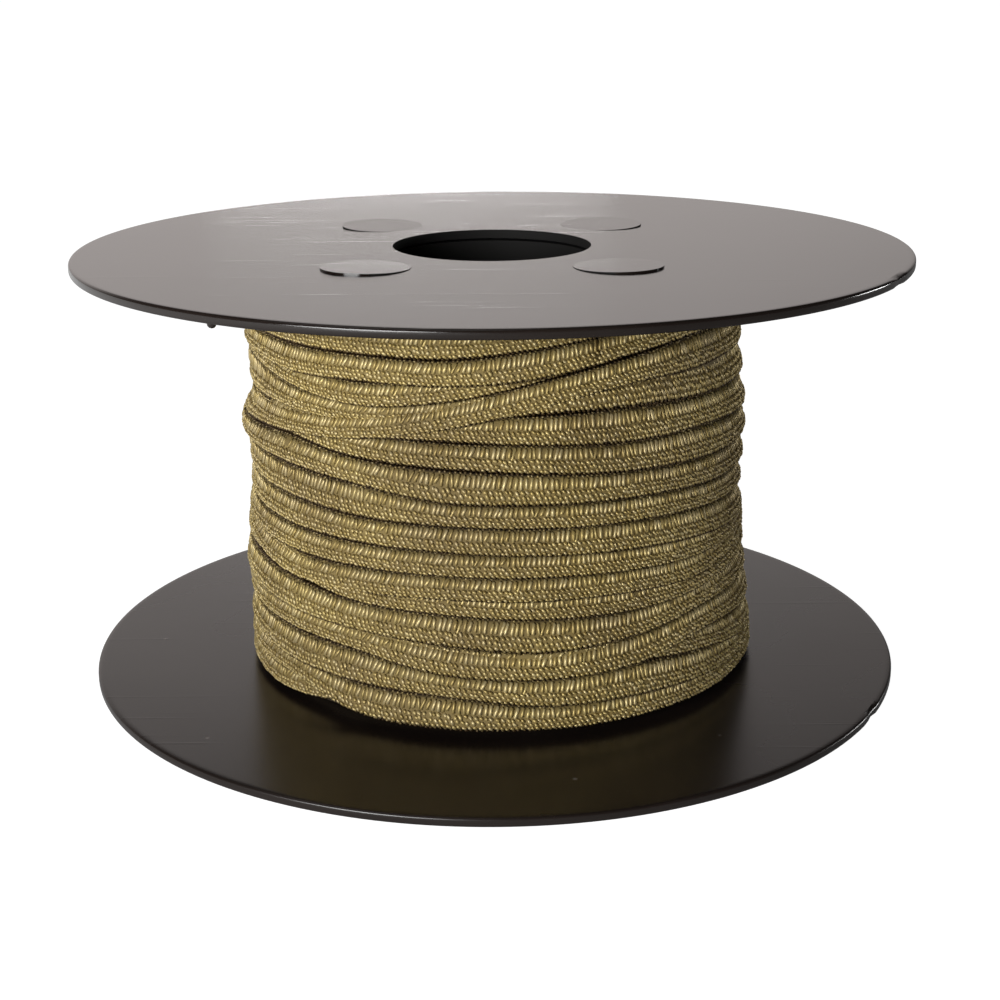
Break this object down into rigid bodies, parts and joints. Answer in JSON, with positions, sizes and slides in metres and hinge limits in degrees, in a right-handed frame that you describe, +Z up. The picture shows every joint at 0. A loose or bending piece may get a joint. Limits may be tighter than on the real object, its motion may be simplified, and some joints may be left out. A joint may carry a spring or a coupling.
{
  "type": "soutache braid wound on a flanged reel",
  "caption": "Flat two-ribbed metallic soutache braid wound in sloping turns on a dark plastic reel with thin round flanges and an open bore.",
  "frame": {"origin": "middle of the underside of the lower flange, on the surface that the reel stands on", "axes": "+Z up along the reel's bore; -Y faces the front of the picture, +X to its right"},
  "size_m": [0.1, 0.1, 0.0518],
  "materials": {
    "reel_plastic": "brown-black moulded plastic, soft satin sheen with fine scratches",
    "braid_yarn": "old-gold metallic yarn braided in a herringbone over two core cords"
  },
  "bodies": {
    "root": {"reel_flange_lower": "reel_plastic", "reel_flange_upper": "reel_plastic", "reel_core": "reel_plastic", "braid_winding": "braid_yarn"}
  },
  "joints": []
}
